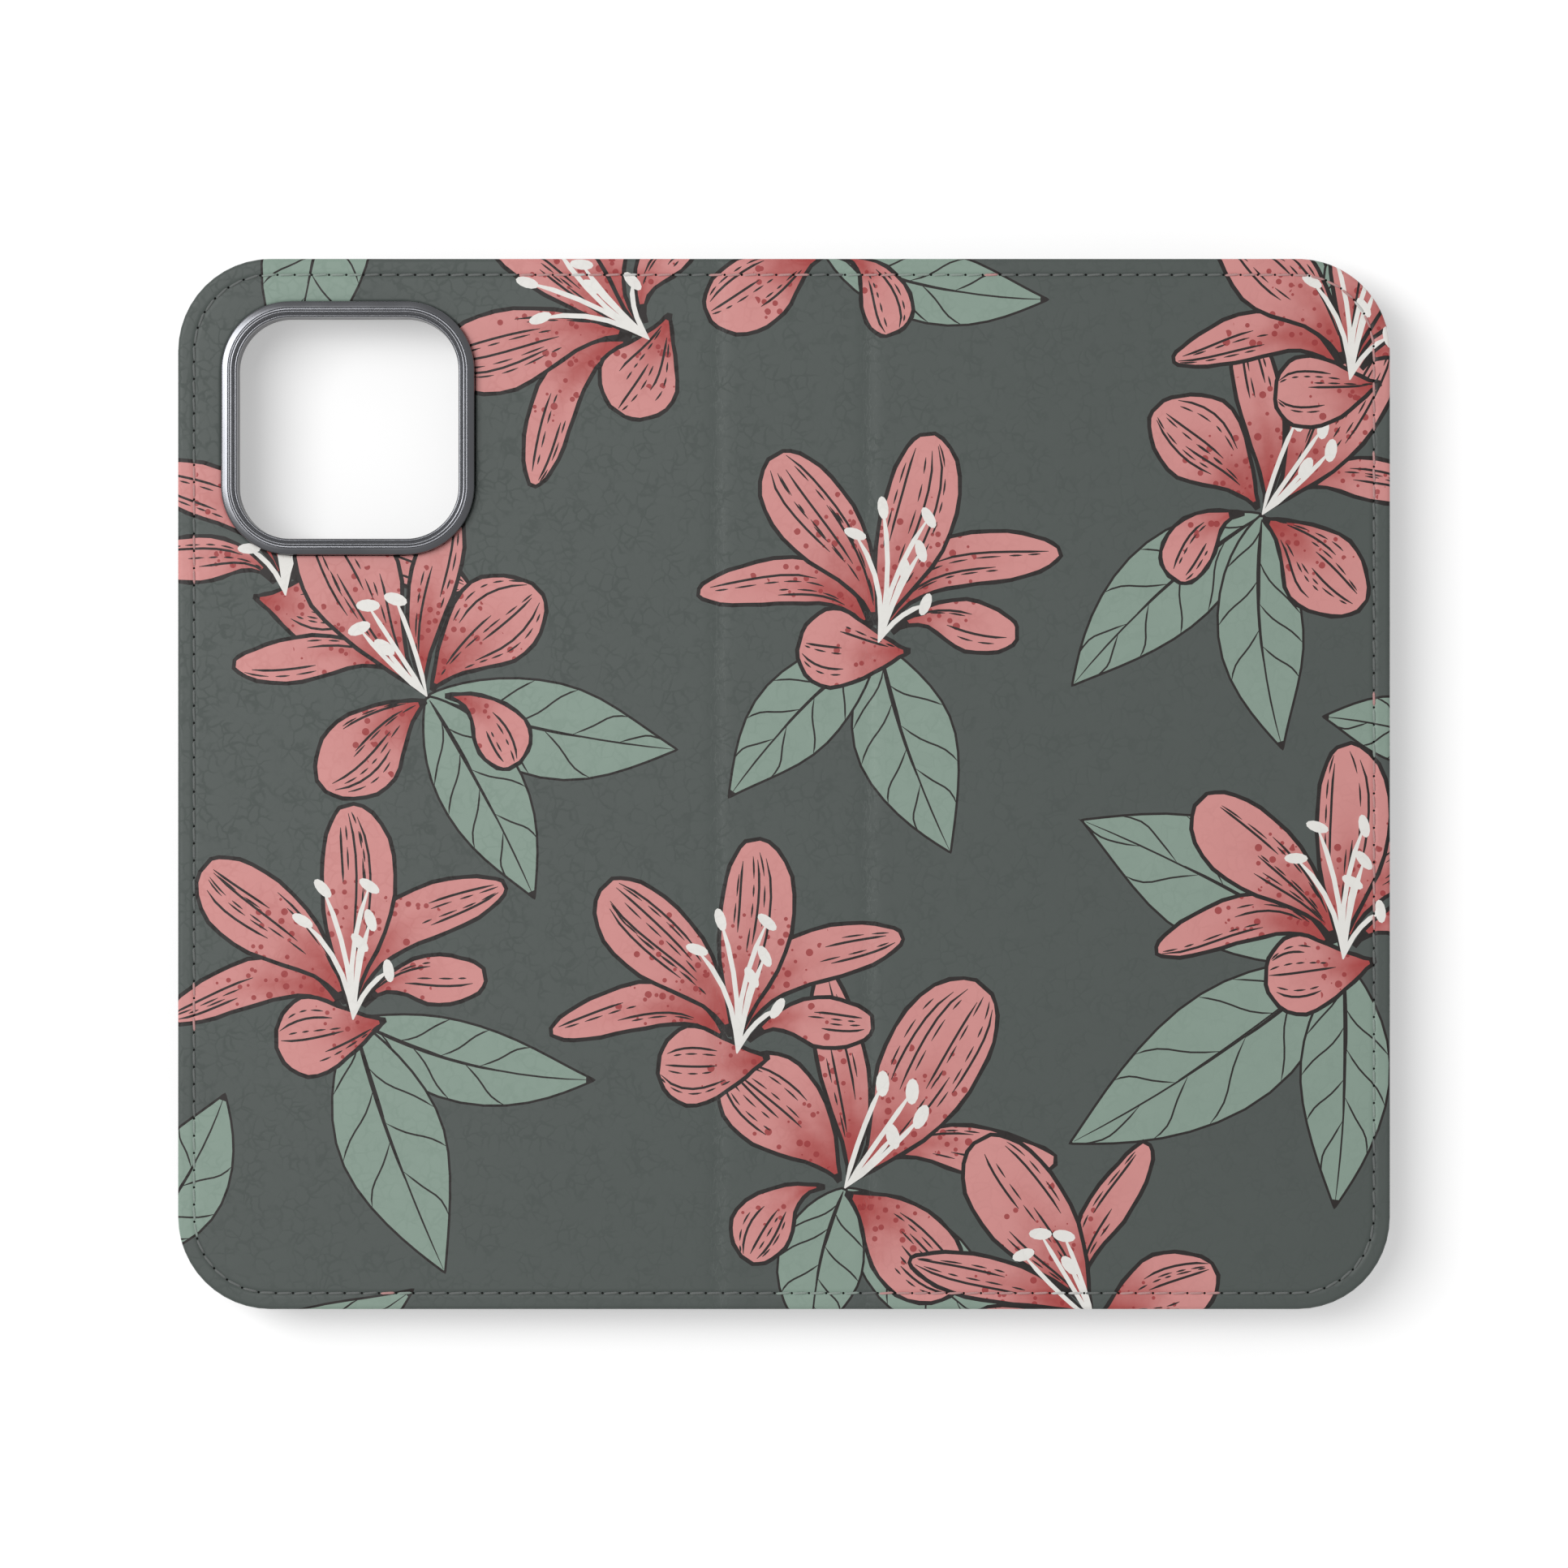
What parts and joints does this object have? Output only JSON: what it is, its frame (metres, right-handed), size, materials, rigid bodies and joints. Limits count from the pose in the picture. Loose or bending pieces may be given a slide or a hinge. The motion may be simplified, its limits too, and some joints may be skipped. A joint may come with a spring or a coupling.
{
  "type": "phone case",
  "caption": "Folio phone case lying open: printed leather-look cover with a hard phone tray, raised camera guard, hinged spine and inside pockets.",
  "frame": {"origin": "centre of the open case's outline, on the surface that the tray's mouth rests on", "axes": "+X from the back cover across the spine to the front cover, +Y towards the camera end, +Z out of the outer face"},
  "size_m": [0.18, 0.156, 0.0146],
  "materials": {
    "printed_skin": "pebbled, satin, printed",
    "lining": "fine grain, matte",
    "board": "plain",
    "thread": "waxed polyester",
    "tray_plastic": "satin",
    "guard_plastic": "polished",
    "glue_pad": "matt film",
    "keeper_steel": "plain",
    "magnet_nickel": "nickel plated"
  },
  "bodies": {
    "back_cover": {"back_skin": "printed_skin", "back_board": "board", "back_lining": "lining", "back_outer_thread": "thread", "back_inner_thread": "thread", "glue_pad": "glue_pad", "phone_tray": "tray_plastic", "camera_guard": "guard_plastic", "steel_keeper_upper": "keeper_steel", "steel_keeper_lower": "keeper_steel"},
    "spine": {"spine_skin": "printed_skin", "spine_board": "board", "spine_lining": "lining", "spine_outer_thread_top": "thread", "spine_outer_thread_bottom": "thread", "spine_inner_thread_top": "thread", "spine_inner_thread_bottom": "thread"},
    "front_cover": {"front_skin": "printed_skin", "front_board": "board", "front_lining": "lining", "front_outer_thread": "thread", "front_inner_thread": "thread", "closure_magnet_upper": "magnet_nickel", "closure_magnet_lower": "magnet_nickel", "cash_pocket": "lining", "card_pocket_1": "lining", "card_pocket_2": "lining", "card_pocket_3": "lining"}
  },
  "joints": [
    {"name": "back_crease", "type": "hinge", "parent": "back_cover", "child": "spine", "pos_m": [-0.0098, 0, 0.0126], "axis": [0, 1, 0], "range_deg": [-90, 90]},
    {"name": "front_crease", "type": "hinge", "parent": "spine", "child": "front_cover", "pos_m": [0.0126, 0, 0.0126], "axis": [0, 1, 0], "range_deg": [-90, 90]}
  ]
}
